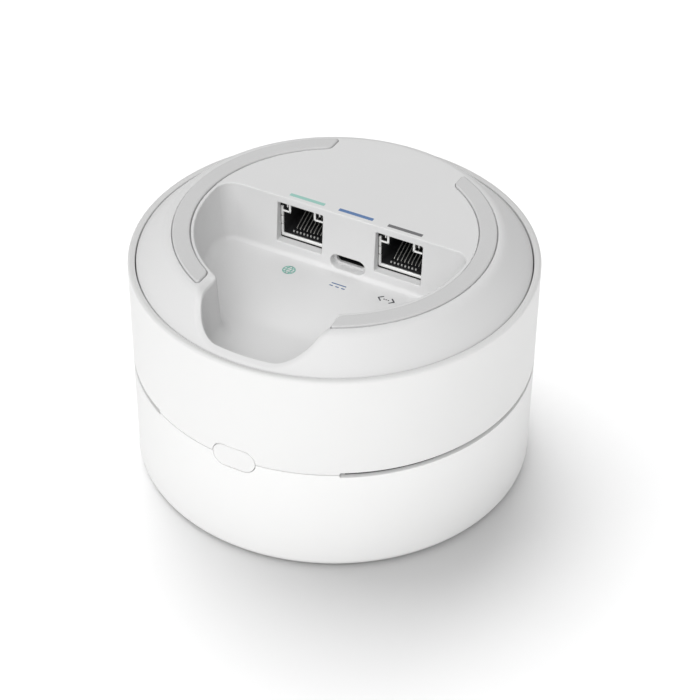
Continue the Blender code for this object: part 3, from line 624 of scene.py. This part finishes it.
JY0, JY1 = 7.60, 29.0
JB, JT = 52.35, 66.0
for jx, nm in zip(JACK_X, ("wan", "lan")):
    def part(tag, x0, x1, y0, y1, z0, z1, r=0.09, mat="steel"):
        return rounded_box(nm + tag, (jx + x0, y0, z0), (jx + x1, y1, z1), r, mat)

    # sheet metal can: three pressed strips on the left of the mouth, one folded lip below it, side walls and back
    bits = [part("_l%d" % k, -6.62, -5.98, JY0 - 0.25, JY0 + 0.35, z0, z1, 0.09, "tab") for k, (z0, z1) in
            enumerate(((55.75, 58.45), (58.7, 60.95), (61.2, 64.2)))]
    bits += [part("_m%d" % k, 5.98, 6.62, JY0 - 0.25, JY0 + 0.35, z0, z1, 0.09, "tab") for k, (z0, z1) in
             enumerate(((55.75, 58.45), (58.7, 60.95), (61.2, 64.2)))]
    bits.append(part("_lip", -6.62, 6.62, JY0 - 0.25, JY0 + 0.35, 54.86, 55.78, 0.2, "tab"))
    front = join(nm + "_jack_front", bits)
    bits = []
    bits.append(part("_low", -7.9, 7.9, JY0 + 0.5, JY1, JB, JB + 0.4))
    bits.append(part("_left", -7.9, -7.5, JY0 + 0.5, JY1, JB + 0.1, JT))
    bits.append(part("_right", 7.5, 7.9, JY0 + 0.5, JY1, JB + 0.1, JT))
    bits.append(part("_back", -7.9, 7.9, JY1 - 0.4, JY1, JB + 0.1, JT))
    bits.append(part("_roof", -7.9, 7.9, JY0 + 0.9, JY1, JT - 0.35, JT))
    can = join(nm + "_jack_can", bits)
    # bright sprung corners folded into the top of the mouth, each with a small strip set behind it
    tabs = []
    for k, sg in enumerate((-1, 1)):
        def side(x0, x1):
            return tuple(sorted((sg * x0, sg * x1)))
        for j, (xa, xb, ya, yb, za, zb) in enumerate((
                (3.40, 3.98, 6.80, 7.25, 63.05, 65.95), (3.40, 6.10, 6.80, 7.25, 63.02, 63.50))):
            x0, x1 = side(xa, xb)
            tabs.append(part("_t%d%d" % (k, j), x0, x1, ya, yb, za, zb, 0.12, "tab"))
        x0, x1 = side(4.55, 4.95)
        tabs.append(part("_d%d" % k, x0, x1, 7.5, 7.9, 64.1, 65.3, 0.14, "tab"))
    tab = join(nm + "_jack_tabs", tabs)
    ins = open_box(nm + "_jack_moulding", (jx - 7.3, JY0 + 0.42, JB + 0.9), (jx + 7.3, JY1 - 0.8, JT - 0.4),
                   (jx - 5.93, jx + 5.93, 55.75, JT - 0.75), JY0 + 14.5, "black")
    # the moulding's step beside the latch notch
    step = join(nm + "_jack_latch_step", [part("_s%d" % k, x0, x1, 8.1, 21.9, 64.1, 65.3, 0.1, "black")
                                          for k, (x0, x1) in enumerate(((-5.9, -3.1), (3.1, 5.9)))])
    wires, tips = [], []
    for i in range(8):
        cx = jx + (i - 3.5) * 1.02
        low = 0.0 if i % 2 else 0.12
        path = [(cx, 10.3 + low, 56.05), (cx, 10.6 + low, 56.35), (cx, 11.6, 56.78), (cx, 13.4, 57.62), (cx, 15.6, 58.64),
                (cx, 18.0, 59.75), (cx, 20.4, 60.7), (cx, 22.0, 60.9)]
        wires.append(tube(nm + "_w%d" % i, path, 0.12, "contact", seg=8))
        tips.append(rounded_box(nm + "_p%d" % i, (cx - 0.20, 8.62, 55.9), (cx + 0.20, 9.0, 56.42), 0.07, "tip"))
    wire = join(nm + "_jack_wires", wires)
    tip = join(nm + "_jack_tips", tips)
    ribs = [rounded_box(nm + "_r%d" % i, (jx + (i - 4) * 1.02 - 0.14, 9.6, 55.7), (jx + (i - 4) * 1.02 + 0.14, 21.9, 56.3), 0.06, "black")
            for i in range(9)]
    rib = join(nm + "_jack_ribs", ribs)
    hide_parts(nm + "_jack_shell")
    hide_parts(nm + "_jack_insert")
    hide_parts(nm + "_jack_contacts")


# ---- usb-c receptacle --------------------------------------------------------------------------------------------------
def sd_usb(x, y, z):
    ax = np.maximum(np.abs(x - USB_X) - (8.94 - 3.16) / 2, 0.0)
    d = np.hypot(ax, z - USB_Z)
    out = rint(d - 1.58, np.abs(y - 11.3) - 3.7, 0.06)
    inn = np.maximum(d - 1.40, np.abs(y - 10.4) - 4.2)
    return rcut(out, inn, 0.06)


def sd_collar(x, y, z):
    """The moulded floor of the power socket's recess, closed round the can."""
    ax = np.maximum(np.abs(x - USB_X) - (8.94 - 3.16) / 2, 0.0)
    d = np.hypot(ax, z - USB_Z)
    body = rint(d - 2.6, np.abs(y - 7.35) - 0.45, 0.05)
    return rcut(body, d - 1.33, 0.05)


ush = surface("usb_c_can", sd_usb, (USB_X - 4.9, 6.7, USB_Z - 1.9), (USB_X + 4.9, 15.3, USB_Z + 1.9), 0.12, "black")
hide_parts("usb_c_shell")
collar = surface("usb_c_collar", sd_collar, (USB_X - 6.0, 6.7, USB_Z - 3.0), (USB_X + 6.0, 8.2, USB_Z + 3.0), 0.15, "grey")
tng = rounded_box("usb_c_tongue_blade", (USB_X - 3.35, 8.6, USB_Z - 0.35), (USB_X + 3.35, 14.3, USB_Z + 0.35), 0.16, "black")
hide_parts("usb_c_tongue")
pads = join("usb_c_pads", [rounded_box("up%d_%d" % (i, s), (USB_X - 2.75 + i * 0.5 - 0.13, 8.9, USB_Z + s * 0.35 - 0.04),
                                       (USB_X - 2.75 + i * 0.5 + 0.13, 12.6, USB_Z + s * 0.35 + 0.04), 0.02, "gold")
                           for i in range(12) for s in (-1, 1)])


# ---- printed marks ------------------------------------------------------------------------------------------------------------
def print_poly(name, outline, z, mat, t=0.035):
    n = len(outline)
    v = [(x, y, z - 0.06) for x, y in outline] + [(x, y, z + t) for x, y in outline]
    f = [tuple(range(n))[::-1], tuple(range(n, 2 * n))] + [(i, (i + 1) % n, n + (i + 1) % n, n + i) for i in range(n)]
    return face_out(mesh_obj(name, v, f, mat, smooth=False))


def capsule(x0, y0, x1, y1, w, n=8):
    a = math.atan2(y1 - y0, x1 - x0)
    p = [(x1 + w / 2 * math.cos(a + t), y1 + w / 2 * math.sin(a + t)) for t in np.linspace(-math.pi / 2, math.pi / 2, n)]
    p += [(x0 + w / 2 * math.cos(a + t), y0 + w / 2 * math.sin(a + t)) for t in np.linspace(math.pi / 2, 3 * math.pi / 2, n)]
    return p


def ring_print(name, cx, cy, rx, ry, w, mat, z, n=40):
    v, f = [], []
    for k, (dz, s) in enumerate(((-0.06, 1), (0.035, 1), (0.035, -1), (-0.06, -1))):
        for i in range(n):
            t = 2 * math.pi * i / n
            v.append((cx + (rx + s * w / 2) * math.cos(t), cy + (ry + s * w / 2) * math.sin(t), z + dz))
    f = grid_faces(4, n, wrap_cols=True, wrap_rows=True)
    return face_out(mesh_obj(name, v, f, mat, smooth=False))


for nm, x0, x1, by, mat in (("teal_bar", -17.35, -7.15, 7.85, "teal"), ("blue_bar", -2.95, 6.95, 7.85, "blue"), ("grey_bar", 11.35, 21.15, 7.60, "ink")):
    w = 1.12
    bar = print_poly(nm, [(x0, by - w / 2), (x1, by - w / 2), (x1, by + w / 2), (x0, by + w / 2)], FACE_Z, mat)

FZ = BAY_FLOOR
gx, gy = -12.95, -1.1
marks = [ring_print("g0", gx, gy, 1.62, 1.62, 0.30, "mark_teal", FZ), ring_print("g1", gx, gy, 0.72, 1.62, 0.26, "mark_teal", FZ)]
marks += [print_poly("g2", capsule(gx - 1.6, gy, gx + 1.6, gy, 0.26), FZ, "mark_teal"),
          print_poly("g3", capsule(gx - 1.4, gy + 0.82, gx + 1.4, gy + 0.82, 0.24), FZ, "mark_teal"),
          print_poly("g4", capsule(gx - 1.4, gy - 0.82, gx + 1.4, gy - 0.82, 0.24), FZ, "mark_teal")]
globe = join("globe_mark", marks)
dx, dy = 1.62, -1.15
marks = [print_poly("d0", capsule(dx - 2.0, dy + 0.56, dx + 2.0, dy + 0.56, 0.34, 4), FZ, "mark_blue")]
for k in (-1, 0, 1):
    marks.append(print_poly("d%d" % (k + 2), capsule(dx + k * 1.72 - 0.38, dy - 0.55, dx + k * 1.72 + 0.38, dy - 0.55, 0.34, 4), FZ, "mark_blue"))
dc = join("direct_current_mark", marks)
ex, ey = 15.3, -0.45
marks = []
for s in (-1, 1):
    marks.append(print_poly("e%da" % s, capsule(ex + s * 2.25, ey, ex + s * 1.25, ey + 0.95, 0.36), FZ, "mark_ink"))
    marks.append(print_poly("e%db" % s, capsule(ex + s * 2.25, ey, ex + s * 1.25, ey - 0.95, 0.36), FZ, "mark_ink"))
for k in (-1, 0, 1):
    marks.append(ring_print("e_dot%d" % k, ex + k * 0.62, ey, 0.11, 0.11, 0.2, "mark_ink", FZ, 12))
lan = join("link_mark", marks)

# ---- the pieces that stay as the frame made them ---------------------------------------------------------------------------------
INNER = {
    "steel": ("base_screw_", "board_screw_", "light_board_screw_", "radio_shield_"),
    "pcb": ("main_board", "light_board", "button_board"),
    "chip": ("soc_chip", "memory_chip", "storage_chip", "power_inductor", "network_transformer", "switch_body"),
    "cast": ("heat_sink",),
    "pad": ("thermal_pad",),
    "led": ("status_led_",),
    "wire": ("wifi_cable_", "bluetooth_cable"),
    "gold": ("wifi_antenna_", "bluetooth_antenna", "antenna_plug_"),
    "carrier": ("antenna_carrier", "switch_plunger"),
}
for name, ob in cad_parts.items():
    best, size = None, 0
    for key, starts in INNER.items():
        for s in starts:
            if name.startswith(s) and len(s) > size:
                best, size = key, len(s)
    if best:
        for s in ob.material_slots:
            s.material = M[best]

# ---- floor, light, camera ----------------------------------------------------------------------------------------------------------
def stage_floor():
    nx = 48
    s = 3000.0
    pts = np.linspace(-s, s, nx)
    verts = [(x, y, -0.02) for y in pts for x in pts]
    me = bpy.data.meshes.new("studio_floor")
    me.from_pydata([tuple(c * MM for c in v) for v in verts], [], grid_faces(nx, nx))
    m = bpy.data.materials.new("studio_paper")
    m.use_nodes = True
    b = m.node_tree.nodes["Principled BSDF"]
    b.inputs["Base Color"].default_value = (0.93, 0.93, 0.93, 1)
    b.inputs["Roughness"].default_value = 0.9
    b.inputs["Specular IOR Level"].default_value = 0.0
    me.materials.append(m)
    ob = bpy.data.objects.new("studio_floor", me)
    scene.collection.objects.link(ob)


stage_floor()
world = bpy.data.worlds.new("studio")
world.use_nodes = True
world.node_tree.nodes["Background"].inputs["Color"].default_value = (1, 1, 1, 1)
world.node_tree.nodes["Background"].inputs["Strength"].default_value = 0.3375
scene.world = world


# broad soft lights: (elevation, azimuth from the camera, strength); one set for the object, one for the paper under it
CARD = 0.0011
OBJECT_LIGHTS = ((38, -45, 1.050), (38, 0, 0.620), (62, -30, 0.420), (62, 30, 0.400), (38, 180, 0.220), (62, -150, 0.160),
                 (62, -90, 0.120))
SLEEVE_LIGHTS = ((38, -45, 0.677), (38, 0, 0.532), (14, 0, 0.189), (14, -45, 0.180), (14, 45, 0.149), (62, -150, 0.220), (62, 150, 0.220))
CROWN_LIGHTS = ((38, 0, 0.758), (38, -45, 0.661), (14, 0, 0.378), (14, 45, 0.160), (14, -45, 0.067))
PAPER_LIGHTS = ((62, -150, 1.680), (38, 180, 0.722), (38, -90, 0.505), (62, 150, 0.352), (38, -135, 0.142))
paper = bpy.data.objects["studio_floor"]


shells = [crown, sleeve, cap, flange]


def receivers(name, objects, state):
    c = bpy.data.collections.new(name)
    for o in objects:
        c.objects.link(o)
    for co in c.collection_objects:
        co.light_linking.link_state = state
    return c


only_paper = receivers("lit_paper", [paper], "INCLUDE")
only_sleeve = receivers("lit_sleeve", [sleeve, cap, flange], "INCLUDE")
only_crown = receivers("lit_crown", [crown], "INCLUDE")
the_rest = receivers("lit_rest", [paper] + shells, "EXCLUDE")
for kind, rows, coll in (("object", OBJECT_LIGHTS, the_rest), ("sleeve", SLEEVE_LIGHTS, only_sleeve), ("crown", CROWN_LIGHTS, only_crown),
                         ("paper", PAPER_LIGHTS, only_paper)):
    for k, (el, off, power) in enumerate(rows):
        d = bpy.data.lights.new("soft_%s_%d" % (kind, k), "SUN")
        d.energy = power
        d.angle = math.radians(42)
        az, e = math.radians(-62.0 + off), math.radians(el)
        ob = bpy.data.objects.new(d.name, d)
        ob.location = (math.cos(az) * math.cos(e), math.sin(az) * math.cos(e), math.sin(e))
        ob.rotation_euler = (-Vector(ob.location)).to_track_quat("-Z", "Y").to_euler()
        scene.collection.objects.link(ob)
        ob.light_linking.receiver_collection = coll

# a small reflector card held in the bay, which lifts the wall with the sockets
card = bpy.data.lights.new("bay_card", "AREA")
card.shape = "RECTANGLE"
card.size, card.size_y = 0.028, 0.007
card.energy = CARD
card_ob = bpy.data.objects.new("bay_card", card)
card_ob.location = (0.001, -0.029, 0.0635)
card_ob.rotation_euler = Vector((0, 1, 0.22)).to_track_quat("-Z", "Y").to_euler()
card_ob.visible_camera = False
card_ob.visible_glossy = False
feet = [bpy.data.objects["foot_right_pad"], bpy.data.objects["foot_left_pad"]]
card_ob.light_linking.receiver_collection = receivers("lit_card", [paper] + shells + feet, "EXCLUDE")
scene.collection.objects.link(card_ob)

cam_d = bpy.data.cameras.new("camera")
cam_d.sensor_width = 36.0
cam_d.lens = 109.923
cam_d.clip_start = 0.01
cam = bpy.data.objects.new("camera", cam_d)
fw = Vector((-0.3615, 0.69443, -0.62217)).normalized()
up = Vector((-0.29744, 0.54654, 0.78283))
rt = fw.cross(up).normalized()
up = rt.cross(fw)
mat = Matrix((rt, up, -fw)).transposed().to_4x4()
mat.translation = Vector((0.209358, -0.393054, 0.382576))
cam.matrix_world = mat
scene.collection.objects.link(cam)
scene.camera = cam
scene.view_settings.view_transform = "Standard"
scene.view_settings.look = "None"
scene.view_settings.exposure = 0.0
scene.view_settings.gamma = 1.0
